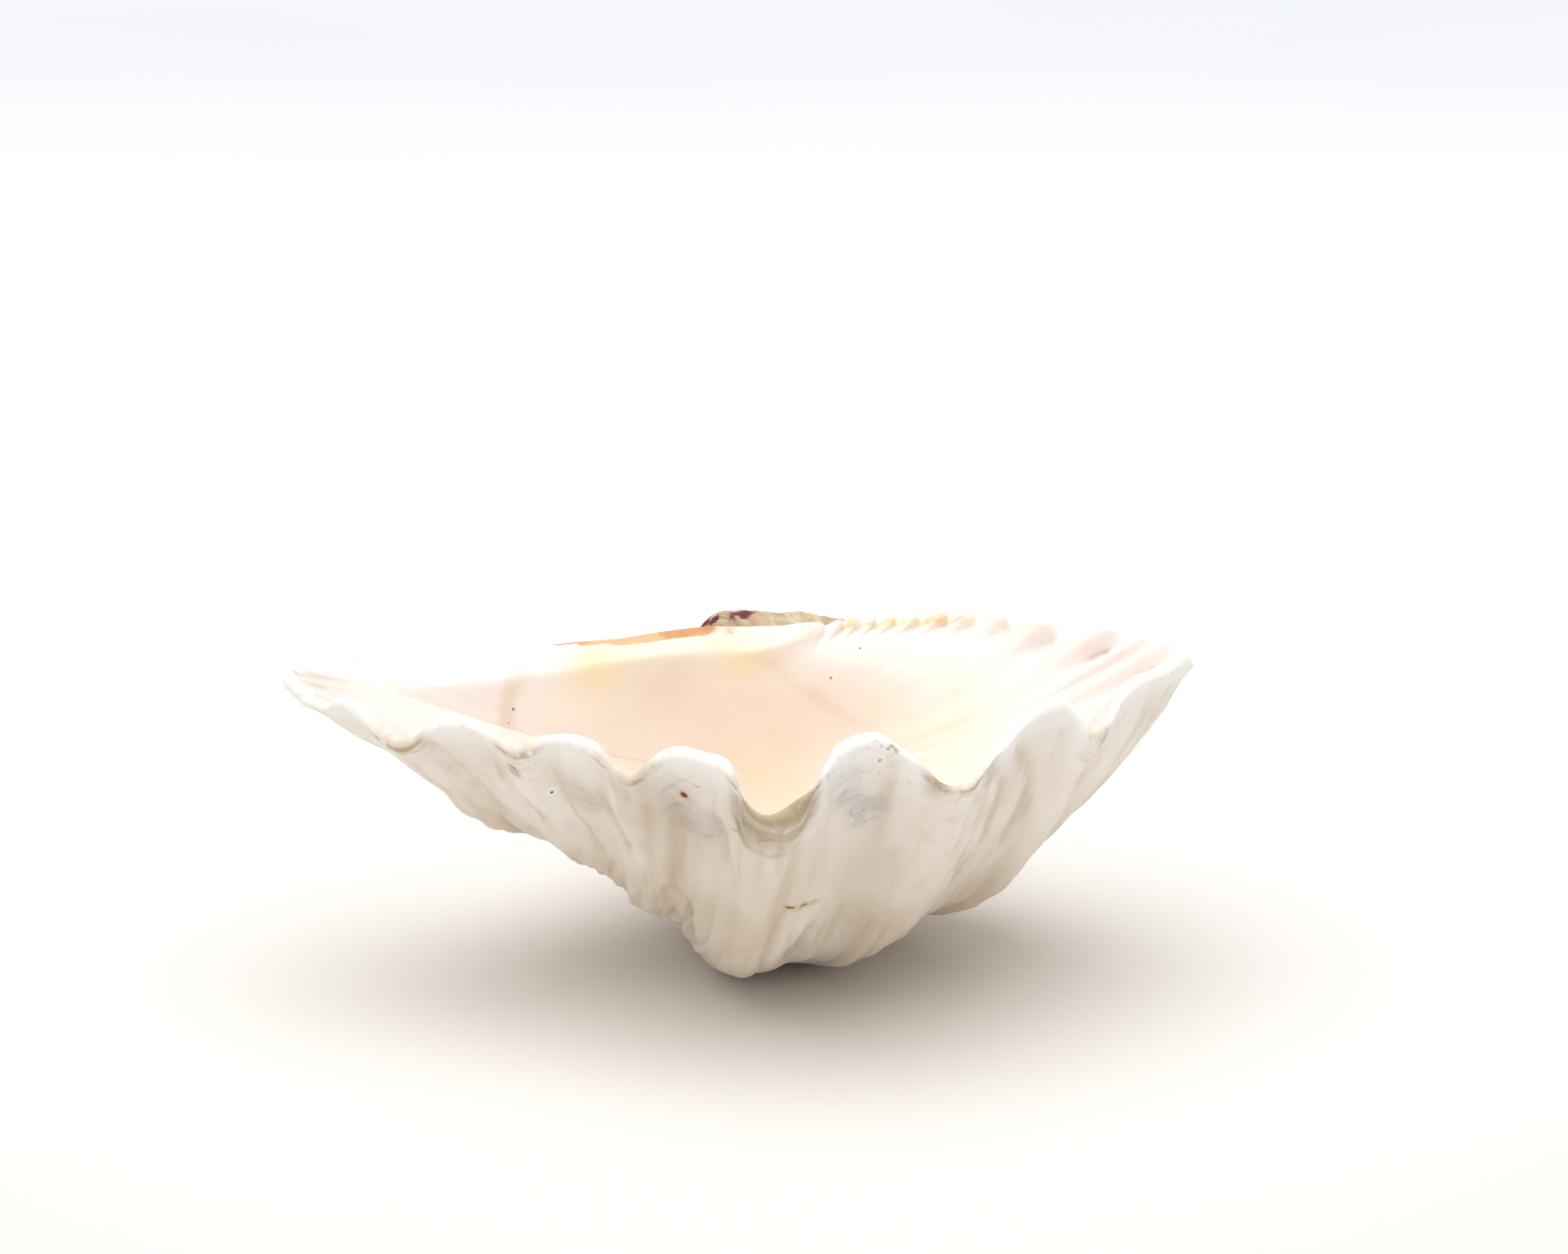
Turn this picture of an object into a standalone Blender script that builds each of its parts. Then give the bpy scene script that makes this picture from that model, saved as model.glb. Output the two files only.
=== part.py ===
"""Giant clam shell: one valve, resting on the outside of its ribs with the hollow side up.

The valve is modelled the way it grows. A mantle lays shell along its edge, and the edge turns about a
coiling centre behind the hinge while it gets larger. So every earlier edge is the last one, made smaller
and turned back by an angle that follows the logarithm of its size. The wavy rim, swept like this, gives
the outside with its broad ribs and the curled umbo. The inside is a second, smoother sweep about a centre
of its own, under the hinge plate. The lip joins the two, and the whole valve is one closed solid.

Frame while growing: the rim's plane is z = 0, the hinge's middle is the origin, +X is right, +Y is back.
The finished valve is set down with the floor at z = 0 and its own middle over the origin. Lengths are metres.
"""

import math

import bmesh
import bpy
import numpy as np

# The rim's middle line seen from above: from the hinge round by the left tip, the front and the right tip.
OUTLINE = [
    (0.002, -0.001), (-0.034, -0.017), (-0.070, -0.029), (-0.108, -0.0375), (-0.1275, -0.0455),
    (-0.134, -0.060), (-0.124, -0.088), (-0.103, -0.108), (-0.076, -0.119), (-0.040, -0.131),
    (-0.003, -0.150), (0.028, -0.168), (0.056, -0.163), (0.090, -0.144), (0.123, -0.118),
    (0.149, -0.090), (0.166, -0.055), (0.162, -0.028), (0.142, -0.012), (0.117, -0.002),
    (0.092, 0.007), (0.066, 0.007), (0.042, 0.002), (0.020, -0.002)]

# Where the wavy rim turns: a place along the outline, counted in its points, and how far the rim stands out
# there. Ribs end in notches, which stand out and lie low. The tongues between them lean in and stand high.
TURNS = [
    (5.2, 0.0), (6.22, 0.0029), (6.66, -0.0003), (7.42, 0.0069), (8.13, 0.0001), (8.6, 0.0055),
    (9.06, 0.0016), (9.65, 0.0083), (10.05, 0.0006), (10.3, 0.0008), (10.98, 0.0118), (12.06, -0.0045),
    (12.76, 0.0094), (13.84, -0.0044), (14.17, 0.0054), (14.9, -0.0037), (15.6, -0.0035), (16.7, 0.003),
    (17.0, -0.0015), (17.3, 0.0015), (17.5, -0.001), (17.75, 0.003), (18.1, -0.0025), (18.6, 0.0025),
    (18.95, -0.002)]

# The crimps past the last of those get smaller and closer towards the umbo, until the rim runs smooth.
CRIMP_SPACING = 0.54
CRIMP_SHRINK = 0.865
CRIMP_LEAST = 0.25
CRIMP_HEIGHT = 0.0031
CRIMPS_END = 22.2
SMOOTH_FROM = 22.6

# Coiling: the axis leans back to the right, and the edge turns COIL radians while it shrinks e-fold. The beak
# drifts a little to the right, and the right flank shrinks more slowly than the left. The oldest shell is
# stretched sideways, a little to the left and far to the right, where it makes the umbo's long shoulder.
AXIS_LEAN = math.radians(20.0)
COIL = 1.78
COIL_CENTRE = np.array([0.014, 0.018, -0.017])
BEAK_DRIFT = 0.009
BEAK_SIZE = 0.065
RIGHT_FLANK = 0.92
SHOULDER_RIGHT = 4.0
SHOULDER_LEFT = 0.25
SHOULDER_POWER = 8

# Relief of the ribs across the wall and along the growth, as shares of the numbers in TURNS. The oldest edges
# keep OLD_RELIEF of it. The wall swells out by SWELL half-way down the front.
ACROSS = 0.9
ALONG = 1.0
OLD_RELIEF = 0.35
SWELL = 0.004

# Inside: the centre of its rows, how far they turn and sink on the way, and how far that centre moves back
# under the hinge plate. The ribs fade on the way, sooner in front than on the right and soonest on the
# crimps, and the wall thickens.
BOWL_LEAN = math.radians(12.0)
BOWL_CENTRE = np.array([0.016, -0.035, -0.049])
BOWL_TURN = math.radians(90.0)
BOWL_POWER = 1.1
BOWL_SINK_POWER = 1.5
BOWL_UNDERCUT = 0.028
UNDERCUT_REACH = 0.055
FOLD_FADE_FRONT = 2.0
FOLD_FADE_RIGHT = 1.6
FOLD_FADE_CRIMPS = 10.0
WALL_GAIN = 0.007

# The rows round off towards the bowl's centre: half a length to each side, and a width ahead and behind.
ROUND_SIDE = 0.105
ROUND_AHEAD = 0.130
ROUND_BEHIND = 0.022

# The lip, and the hinge plate on the left of the hinge with the ligament's ridge along its back.
LIP = 0.0048
LIP_ON_TONGUES = 0.0012
PLATE = 0.013
PLATE_DROP = 0.003
RIDGE_HEIGHT = 0.0025

# The rib crests that carry the valve are worn flat this deep.
FOOT_WEAR = 0.0012

# Rows of the mesh, and its stations along the plain part of the rim.
OUTER_ROWS = 20
BOWL_ROWS = 9
PLAIN_STATIONS = 12

AXIS = np.array([math.cos(AXIS_LEAN), math.sin(AXIS_LEAN), 0.0])
FORWARD = np.array([math.sin(AXIS_LEAN), -math.cos(AXIS_LEAN), 0.0])
UP = np.array([0.0, 0.0, 1.0])
RIGHT = np.array([1.0, 0.0, 0.0])
BOWL_AXIS = np.array([math.cos(BOWL_LEAN), math.sin(BOWL_LEAN), 0.0])
BOWL_FORWARD = np.array([math.sin(BOWL_LEAN), -math.cos(BOWL_LEAN), 0.0])


def rim_turns():
    """All turning points of the rim, the crimps included, up to where it runs smooth."""
    turns = list(TURNS)
    spacing = CRIMP_SPACING
    while turns[-1][0] + spacing < CRIMPS_END:
        place = turns[-1][0]
        height = CRIMP_HEIGHT * spacing
        turns.append((place + 0.55 * spacing, height))
        turns.append((place + spacing, -height))
        spacing = max(spacing * CRIMP_SHRINK, CRIMP_LEAST)
    turns.append((SMOOTH_FROM, 0.0))
    return turns


def rim_places(turns):
    """The places along the outline that carry a station: more on the broad ribs than on the crimps."""
    places = []
    for (start, high), (end, low) in zip(turns, turns[1:]):
        size = abs(high - low)
        steps = 5 if size > 0.008 else 4 if size > 0.0045 else 2
        places += [start + (end - start) * step / steps for step in range(steps)]
    plain_start = turns[-1][0]
    plain_end = turns[0][0] + len(OUTLINE)
    spacing = (plain_end - plain_start) / PLAIN_STATIONS
    places += [plain_start + spacing * step for step in range(PLAIN_STATIONS)]
    return np.array(places) % len(OUTLINE)


def closed_spline(places):
    """Catmull-Rom curve through the outline, at places counted in its points."""
    points = np.array([(x, y, 0.0) for x, y in OUTLINE])
    count = len(points)
    start = np.floor(places).astype(int)
    t = (places - start)[:, None]
    before, here = points[(start - 1) % count], points[start % count]
    after, later = points[(start + 1) % count], points[(start + 2) % count]
    slope = after - before
    bend = 2 * before - 5 * here + 4 * after - later
    twist = 3 * here - before - 3 * after + later
    return 0.5 * (2 * here + slope * t + bend * t ** 2 + twist * t ** 3)


def rib_wave(places, turns):
    """How far the rim stands out at each place: narrow at the notches and broad at the tongues."""
    wave = np.zeros(len(places))
    for (start, first), (end, last) in zip(turns, turns[1:]):
        inside = (places >= start) & (places < end)
        t = (places[inside] - start) / (end - start)
        if first >= last:
            wave[inside] = last + (first - last) * np.cos(math.pi / 2 * t) ** 2.6
        else:
            wave[inside] = first + (last - first) * np.cos(math.pi / 2 * (1 - t)) ** 2.6
    return wave


def unit(vectors):
    return vectors / np.linalg.norm(vectors, axis=1)[:, None]


def fade(value, low, high):
    """0 below low, 1 above high, and a smooth step between them."""
    t = np.clip((value - low) / (high - low), 0.0, 1.0)
    return t * t * (3 - 2 * t)


class Rim:
    """The rim's stations, each with its place, its directions and its share of the relief."""

    def __init__(self):
        turns = rim_turns()
        self.places = rim_places(turns)
        self.line = closed_spline(self.places)
        self.wave = rib_wave(self.places, turns)
        along = closed_spline(self.places + 0.01) - closed_spline(self.places - 0.01)
        reach = self.line - COIL_CENTRE
        self.ahead = reach @ FORWARD
        growth = reach + COIL * (self.ahead[:, None] * UP - reach[:, 2:3] * FORWARD)
        self.growth = unit(growth)
        self.outward = unit(np.cross(along, growth))
        # The plate is full beside the hinge and runs out before the left tip and right of the hinge.
        left = self.places
        right = self.places - len(OUTLINE)
        self.plate = np.where(left < 12, 1 - fade(left, 4.35, 5.2), fade(right, -2.4, -0.6))
        # The inner folds reach far down on the right side, less far along the front, and end soon on the crimps.
        side = fade(self.places, 12.5, 16.5)
        crimped = fade(self.places, 18.4, 19.6)
        self.fold_fade = FOLD_FADE_FRONT + (FOLD_FADE_RIGHT - FOLD_FADE_FRONT) * side
        self.fold_fade += (FOLD_FADE_CRIMPS - FOLD_FADE_RIGHT) * crimped


def placed(sideways, ahead, above):
    """A place given along the coiling axis, ahead of it and above it."""
    return sideways[:, None] * AXIS + ahead[:, None] * FORWARD + above[:, None] * UP


def coiled(reach, size):
    """A reach from the coiling centre, made smaller and turned down and back about the axis."""
    angle = COIL * math.log(1 / size)
    sideways = reach @ AXIS
    sideways = np.where(sideways > 0, sideways * size ** RIGHT_FLANK, sideways * size)
    ahead = reach @ FORWARD * size
    above = reach[:, 2] * size
    turned_ahead = ahead * math.cos(angle) + above * math.sin(angle)
    turned_above = above * math.cos(angle) - ahead * math.sin(angle)
    drift = BEAK_DRIFT * (1 - size) ** 3
    stretch = np.where(sideways > 0, SHOULDER_RIGHT, SHOULDER_LEFT) * (1 - size) ** SHOULDER_POWER
    return placed(sideways + drift, turned_ahead, turned_above) + np.outer(sideways * stretch, RIGHT)


def outer_row(rim, size):
    """The edge as it was when the valve had this share of its size."""
    relief = OLD_RELIEF + (1 - OLD_RELIEF) * size ** 2
    swell = SWELL * 4 * (1 - size) * np.clip(rim.ahead / 0.06, 0.0, 1.0)
    out = ACROSS * relief * rim.wave + swell
    edge = rim.line + rim.outward * out[:, None] - rim.growth * (ALONG * relief * rim.wave)[:, None]
    return COIL_CENTRE + coiled(edge - COIL_CENTRE, size)


def beak_rows(row):
    """Two rows that close the last edge in a blunt nose, and the nose's tip."""
    middle = row.mean(axis=0)
    angle = COIL * math.log(1 / BEAK_SIZE)
    nose = -math.sin(angle) * FORWARD - math.cos(angle) * UP
    length = 0.004
    rows = [middle + (row - middle) * math.cos(a) + nose * length * math.sin(a) for a in (0.7, 1.2)]
    return rows, middle + nose * length


def lip_width(rim):
    """The lip's width, a little less in the notches than on the tongues."""
    return LIP - LIP_ON_TONGUES * rim.wave / 0.0085


def bowl_edge(rim, fold, gain=0.0):
    """The inner edge of the lip, with this share of the ribs' relief and the wall this much thicker."""
    out = ACROSS * fold * rim.wave - lip_width(rim) - gain
    low = ALONG * fold * rim.wave
    plate = rim.plate[:, None] * (PLATE * FORWARD - PLATE_DROP * UP)
    return rim.line + rim.outward * out[:, None] - rim.growth * low[:, None] + plate


def lip_rows(rim):
    """From the outer edge over the rounded lip, or over the ridge and the plate, to the inner edge."""
    outer = outer_row(rim, 1.0)
    inner = bowl_edge(rim, 1.0)
    across = inner - outer
    rise = 0.45 * LIP + (RIDGE_HEIGHT - 0.45 * LIP) * rim.plate
    crest_at = 0.42 - 0.22 * rim.plate
    foot_at = 0.86 - 0.42 * rim.plate
    crest = outer + across * crest_at[:, None] + rim.growth * rise[:, None]
    foot = outer + across * foot_at[:, None] + rim.growth * (0.3 * LIP * (1 - rim.plate))[:, None]
    return [crest, foot, inner]


def bowl_row(rim, size):
    """A row of the inside, at this share of the way from its centre to the lip."""
    gain = WALL_GAIN * (1 - size) * (1 - rim.plate)
    reach = bowl_edge(rim, size ** rim.fold_fade, gain) - BOWL_CENTRE
    sideways = reach @ BOWL_AXIS
    ahead = reach @ BOWL_FORWARD
    round_depth = np.where(ahead > 0, ROUND_AHEAD, ROUND_BEHIND)
    width = np.hypot(sideways / ROUND_SIDE, ahead / round_depth)
    shrink = size * (size + (1 - size) / width)
    under = np.clip(1 - (width * shrink) ** 2, 0.0, 1.0) ** 2 * (1 - size ** 6)
    angle = BOWL_TURN * (1 - size ** BOWL_POWER)
    back = BOWL_UNDERCUT * under * np.exp(-(sideways * shrink / UNDERCUT_REACH) ** 2)
    above = reach[:, 2] * size ** BOWL_SINK_POWER - ahead * shrink * math.sin(angle)
    flat = np.outer(sideways * shrink, BOWL_AXIS)
    flat += np.outer(ahead * shrink * math.cos(angle) - back, BOWL_FORWARD)
    return BOWL_CENTRE + flat + np.outer(above, UP)


def extrude_through(bm, edges, rows, station):
    """Extrudes the open ring once for each row and puts each new vertex at its own station's place."""
    for row in rows:
        new = bmesh.ops.extrude_edge_only(bm, edges=edges)["geom"]
        edges = [item for item in new if isinstance(item, bmesh.types.BMEdge) and item.is_boundary]
        for item in new:
            if isinstance(item, bmesh.types.BMVert):
                item.co = row[item[station]]
    return edges


def close_at(bm, edges, tip):
    """Closes a ring with a fan of faces to one point."""
    new = bmesh.ops.extrude_edge_only(bm, edges=edges)["geom"]
    ring = [item for item in new if isinstance(item, bmesh.types.BMVert)]
    bmesh.ops.pointmerge(bm, verts=ring, merge_co=tip)


def grow_valve():
    """The closed valve, still in the frame of its rim."""
    rim = Rim()
    bm = bmesh.new()
    station = bm.verts.layers.int.new("station")
    edge_row = outer_row(rim, 1.0)
    verts = bmesh.ops.create_circle(bm, segments=len(edge_row), radius=0.1)["verts"]
    for number, vert in enumerate(verts):
        vert[station] = number
        vert.co = edge_row[number]
    ring = list(bm.edges)

    sizes = [BEAK_SIZE ** (row / OUTER_ROWS) for row in range(1, OUTER_ROWS + 1)]
    outside = [outer_row(rim, size) for size in sizes]
    nose, tip = beak_rows(outside[-1])
    last = extrude_through(bm, ring, outside + nose, station)
    close_at(bm, last, tip)

    sizes = [1 - (row + 0.35) / (BOWL_ROWS + 0.7) for row in range(BOWL_ROWS)]
    inside = [bowl_row(rim, size) for size in sizes]
    last = extrude_through(bm, ring, lip_rows(rim) + inside, station)
    close_at(bm, last, BOWL_CENTRE - BOWL_UNDERCUT * BOWL_FORWARD)

    bmesh.ops.recalc_face_normals(bm, faces=bm.faces)
    return bm


def settle(bm):
    """Wears the feet flat and puts the valve over the origin, on the floor."""
    floor = min(vert.co.z for vert in bm.verts) + FOOT_WEAR
    geometry = list(bm.verts) + list(bm.edges) + list(bm.faces)
    bmesh.ops.bisect_plane(bm, geom=geometry, plane_co=(0, 0, floor), plane_no=(0, 0, 1), clear_inner=True)
    rims_of_feet = [edge for edge in bm.edges if edge.is_boundary]
    bmesh.ops.holes_fill(bm, edges=rims_of_feet, sides=0)
    bmesh.ops.recalc_face_normals(bm, faces=bm.faces)
    xs = [vert.co.x for vert in bm.verts]
    ys = [vert.co.y for vert in bm.verts]
    middle = ((min(xs) + max(xs)) / 2, (min(ys) + max(ys)) / 2, floor)
    bmesh.ops.translate(bm, vec=[-value for value in middle], verts=bm.verts)


def shell_material():
    material = bpy.data.materials.new("shell_outside")
    material.use_nodes = True
    shader = material.node_tree.nodes["Principled BSDF"]
    shader.inputs["Base Color"].default_value = (0.78, 0.70, 0.60, 1.0)
    shader.inputs["Roughness"].default_value = 0.55
    shader.inputs["Metallic"].default_value = 0.0
    return material


def make_shell():
    bm = grow_valve()
    settle(bm)
    mesh = bpy.data.meshes.new("shell")
    bm.to_mesh(mesh)
    bm.free()
    mesh.shade_smooth()
    mesh.set_sharp_from_angle(angle=math.radians(50))
    mesh.materials.append(shell_material())
    shell = bpy.data.objects.new("shell", mesh)
    bpy.context.collection.objects.link(shell)
    return shell


def main():
    for item in list(bpy.data.objects):
        bpy.data.objects.remove(item, do_unlink=True)
    make_shell()


main()
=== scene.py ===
# %% [markdown]
# # A giant clam shell, grown and finished
#
# One valve of a giant clam rests on the outside of its ribs, with its hollow side up. It is a single
# piece, so this lesson is about one surface: how a clam lays it down, and how its chalky outside, its
# thick white lip and its porcelain inside get their finish.
#
# The imported solid comes first, as a fixed frame. It is a faceted valve of about 9,500 triangles. The
# piece made here replaces it in the picture.

import math

import bmesh
import bpy
import numpy as np
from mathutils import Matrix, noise


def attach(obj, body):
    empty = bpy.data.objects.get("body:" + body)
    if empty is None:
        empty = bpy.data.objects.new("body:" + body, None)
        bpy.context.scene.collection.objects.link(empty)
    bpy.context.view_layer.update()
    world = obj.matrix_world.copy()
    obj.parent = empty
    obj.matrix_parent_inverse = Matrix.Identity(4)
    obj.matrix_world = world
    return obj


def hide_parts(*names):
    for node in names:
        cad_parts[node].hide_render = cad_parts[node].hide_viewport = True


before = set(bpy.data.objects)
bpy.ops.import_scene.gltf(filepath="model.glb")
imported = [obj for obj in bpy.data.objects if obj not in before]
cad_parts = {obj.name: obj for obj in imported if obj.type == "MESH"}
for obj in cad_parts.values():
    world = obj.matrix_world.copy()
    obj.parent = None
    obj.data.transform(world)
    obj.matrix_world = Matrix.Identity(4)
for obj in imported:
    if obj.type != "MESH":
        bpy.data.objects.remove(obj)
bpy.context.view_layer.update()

# %% [markdown]
# ## The camera
#
# The shell was photographed from a little above the rim, about 15 degrees down, with a longer lens, so
# that the far rim shows over the near one. An 85 mm lens on a 36 mm sensor, 1.2 m away, gives the same
# narrow angle. A shorter lens would open the bowl too much and make the front tongues too large.

# %% Make the camera
eye = bpy.data.objects.new("camera", bpy.data.cameras.new("camera"))
eye.location = (0.014153, -1.182420, 0.438017)
eye.rotation_euler = (math.radians(75), 0, 0)
eye.data.lens = 85
eye.data.sensor_width = 36
bpy.context.collection.objects.link(eye)
bpy.context.scene.camera = eye
print("camera at", tuple(eye.location))

# %% [markdown]
# ## The floor
#
# A sweep of pale paper. It has to be there, because half of the light on the underside of a shell comes
# back up from it. One quad from create_grid is enough, and its material is a warm white with painted
# light
# on it: a little cooler with distance, a little darker in front, and lighter and warmer round the shell.

# %% Make the floor
FLOOR_HALF = 8.0

bm = bmesh.new()
bmesh.ops.create_grid(bm, x_segments=1, y_segments=1, size=FLOOR_HALF)
floor_mesh = bpy.data.meshes.new("floor")
bm.to_mesh(floor_mesh)
bm.free()
floor = bpy.data.objects.new("floor", floor_mesh)
bpy.context.collection.objects.link(floor)
print("floor is", 2 * FLOOR_HALF, "m wide")

# %% [markdown]
# ## The light
#
# A white studio: light comes from everywhere, and most of it from a very large soft source overhead. A
# white world, a little warm from the paper around it, gives the first part. For the second a sun lamp
# with a very wide angle is better here than an area light, because it does not fall off, and the paper
# stays evenly white far behind the shell.

# %% Make the light
WORLD_STRENGTH = 0.64
OVERHEAD_STRENGTH = 2.18

world = bpy.data.worlds.new("studio")
world.use_nodes = True
world.node_tree.nodes["Background"].inputs["Color"].default_value = (1.0, 0.95, 0.90, 1.0)
world.node_tree.nodes["Background"].inputs["Strength"].default_value = WORLD_STRENGTH
bpy.context.scene.world = world

overhead = bpy.data.objects.new("overhead", bpy.data.lights.new("overhead", "SUN"))
overhead.data.energy = OVERHEAD_STRENGTH
overhead.data.angle = math.radians(72)
overhead.data.color = (1.0, 0.995, 0.985)
overhead.rotation_euler = (math.radians(8), math.radians(-4), 0)
bpy.context.collection.objects.link(overhead)
bpy.context.scene.view_settings.view_transform = "Standard"
print("world", WORLD_STRENGTH, "overhead", OVERHEAD_STRENGTH)

# %% [markdown]
# ## The rim
#
# Everything in a shell starts at its rim, because only the rim grows. The mantle lays new shell along
# it, so a wave in the rim becomes a rib in the wall. The rim is a closed outline, given by 24 points
# seen from above, and a list of turns that say where along it the rim stands out and where it leans in.
# Ribs end in notches, which stand out and lie low. The tongues between them stand high.
#
# A curve object could carry the outline, but then the wave would have to be modelled by hand. With the
# outline as a function of one number, its place, the wave is just another function of that number.

# %% The outline and its turns
OUTLINE = [
    (0.002, -0.001), (-0.034, -0.017), (-0.070, -0.029), (-0.108, -0.0375), (-0.1275, -0.0455),
    (-0.134, -0.060), (-0.124, -0.088), (-0.103, -0.108), (-0.076, -0.119), (-0.040, -0.131),
    (-0.003, -0.150), (0.028, -0.168), (0.056, -0.163), (0.090, -0.144), (0.123, -0.118),
    (0.149, -0.090), (0.166, -0.055), (0.162, -0.028), (0.142, -0.012), (0.117, -0.002),
    (0.092, 0.007), (0.066, 0.007), (0.042, 0.002), (0.020, -0.002)]
TURNS = [
    (5.2, 0.0), (6.22, 0.0029), (6.66, -0.0003), (7.42, 0.0069), (8.13, 0.0001), (8.6, 0.0055),
    (9.06, 0.0016), (9.65, 0.0083), (10.05, 0.0006), (10.3, 0.0008), (10.98, 0.0118), (12.06, -0.0045),
    (12.76, 0.0094), (13.84, -0.0044), (14.17, 0.0054), (14.9, -0.0037), (15.6, -0.0035), (16.7, 0.003),
    (17.0, -0.0015), (17.3, 0.0015), (17.5, -0.001), (17.75, 0.003), (18.1, -0.0025), (18.6, 0.0025),
    (18.95, -0.002)]
CRIMP_SPACING = 0.54
CRIMP_SHRINK = 0.865
CRIMP_LEAST = 0.25
CRIMP_HEIGHT = 0.0031
CRIMPS_END = 22.2
SMOOTH_FROM = 22.6


def rim_turns():
    """The turns, and after them the crimps that get smaller and closer towards the umbo."""
    turns = list(TURNS)
    spacing = CRIMP_SPACING
    while turns[-1][0] + spacing < CRIMPS_END:
        place = turns[-1][0]
        height = CRIMP_HEIGHT * spacing
        turns.append((place + 0.55 * spacing, height))
        turns.append((place + spacing, -height))
        spacing = max(spacing * CRIMP_SHRINK, CRIMP_LEAST)
    turns.append((SMOOTH_FROM, 0.0))
    return turns


turns = rim_turns()
print(len(OUTLINE), "points,", len(turns), "turns")


# %% Two functions of a place along the rim
def outline_at(places):
    """Catmull-Rom curve through the outline, at places counted in its points."""
    points = np.array([(x, y, 0.0) for x, y in OUTLINE])
    count = len(points)
    start = np.floor(places).astype(int)
    t = (places - start)[:, None]
    before, here = points[(start - 1) % count], points[start % count]
    after, later = points[(start + 1) % count], points[(start + 2) % count]
    slope = after - before
    bend = 2 * before - 5 * here + 4 * after - later
    twist = 3 * here - before - 3 * after + later
    return 0.5 * (2 * here + slope * t + bend * t ** 2 + twist * t ** 3)


def wave_at(places):
    """How far the rim stands out at each place: narrow at the notches and broad at the tongues."""
    wave = np.zeros(len(places))
    for (start, first), (end, last) in zip(turns, turns[1:]):
        inside = (places >= start) & (places < end)
        t = (places[inside] - start) / (end - start)
        if first >= last:
            wave[inside] = last + (first - last) * np.cos(math.pi / 2 * t) ** 2.6
        else:
            wave[inside] = first + (last - first) * np.cos(math.pi / 2 * (1 - t)) ** 2.6
    return wave


samples = np.linspace(0, len(OUTLINE), 4801)[:-1]
steps = np.linalg.norm(np.diff(outline_at(samples), axis=0), axis=1)
print("the rim is", round(float(steps.sum()), 3), "m round")

# %% [markdown]
# ## Growth
#
# The rim turns about an axis behind the hinge while it gets larger, and the turn follows the logarithm
# of the size. That one rule makes the whole outside. It also makes the curled umbo, which is simply
# where the valve was small. Each station of the rim keeps three directions: along the rim, the way it
# grows, and outward, across the wall.

# %% The rim's stations
AXIS_LEAN = math.radians(20.0)
COIL = 1.78
COIL_CENTRE = np.array([0.014, 0.018, -0.017])
AXIS = np.array([math.cos(AXIS_LEAN), math.sin(AXIS_LEAN), 0.0])
FORWARD = np.array([math.sin(AXIS_LEAN), -math.cos(AXIS_LEAN), 0.0])
UP = np.array([0.0, 0.0, 1.0])
RIGHT = np.array([1.0, 0.0, 0.0])
FOLD_FADE_FRONT = 2.0
FOLD_FADE_RIGHT = 1.6
FOLD_FADE_CRIMPS = 18.0
STATIONS = 584


def unit(vectors):
    return vectors / np.linalg.norm(vectors, axis=-1)[..., None]


def fade(value, low, high):
    """0 below low, 1 above high, and a smooth step between them."""
    t = np.clip((value - low) / (high - low), 0.0, 1.0)
    return t * t * (3 - 2 * t)


def even_places(count):
    """Places spread by length along the waving rim, closer on the crimps beside the umbo."""
    dense = np.linspace(0, len(OUTLINE), 9601)
    line = outline_at(dense)
    wave = wave_at(dense % len(OUTLINE))
    length = np.hypot(np.linalg.norm(np.diff(line, axis=0), axis=1), 1.4 * np.diff(wave))
    middle = (dense[1:] + dense[:-1]) / 2
    length *= 1 + 0.9 * fade(middle, 16.5, 17.5) * (1 - fade(middle, 22.4, 23.0))
    total = np.concatenate([[0], np.cumsum(length)])
    return np.interp(np.arange(count) * total[-1] / count, total, dense)


class Rim:
    """The rim's stations, each with its place, its directions and its share of the relief."""

    def __init__(self, places):
        self.places = places
        self.line = outline_at(places)
        self.wave = wave_at(places)
        along = outline_at(places + 0.01) - outline_at(places - 0.01)
        reach = self.line - COIL_CENTRE
        self.ahead = reach @ FORWARD
        growth = reach + COIL * (self.ahead[:, None] * UP - reach[:, 2:3] * FORWARD)
        self.growth = unit(growth)
        self.outward = unit(np.cross(along, growth))
        right = places - len(OUTLINE)
        self.plate = np.where(places < 12, 1 - fade(places, 4.35, 5.2), fade(right, -2.4, -0.6))
        self.side = fade(places, 12.5, 15.6)
        crimped = fade(places, 18.4, 19.6)
        self.folds_end = 0.5 + 0.35 * fade(places, 16.9, 17.9)
        self.fold_fade = FOLD_FADE_FRONT + (FOLD_FADE_RIGHT - FOLD_FADE_FRONT) * self.side
        self.fold_fade += (FOLD_FADE_CRIMPS - FOLD_FADE_RIGHT) * crimped


rim = Rim(even_places(STATIONS))
print(STATIONS, "stations")

# %% [markdown]
# ### The outside
#
# Each earlier edge is the last one made smaller and turned back. The ribs get fainter towards the umbo,
# and the wall swells a little halfway down the front. The oldest shell is stretched sideways, far to the
# right, where it makes the umbo's long shoulder. The rows are closer near the rim, where the eye is, and
# wider apart on the old shell underneath.

# %% Rows of the outside
BEAK_DRIFT = 0.009
BEAK_SIZE = 0.065
RIGHT_FLANK = 0.92
SHOULDER_RIGHT = 4.0
SHOULDER_LEFT = 0.25
SHOULDER_POWER = 8
ACROSS = 0.9
ALONG = 1.0
OLD_RELIEF = 0.35
SWELL = 0.004
OUTER_ROWS = 104
NOSE = 0.004


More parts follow.
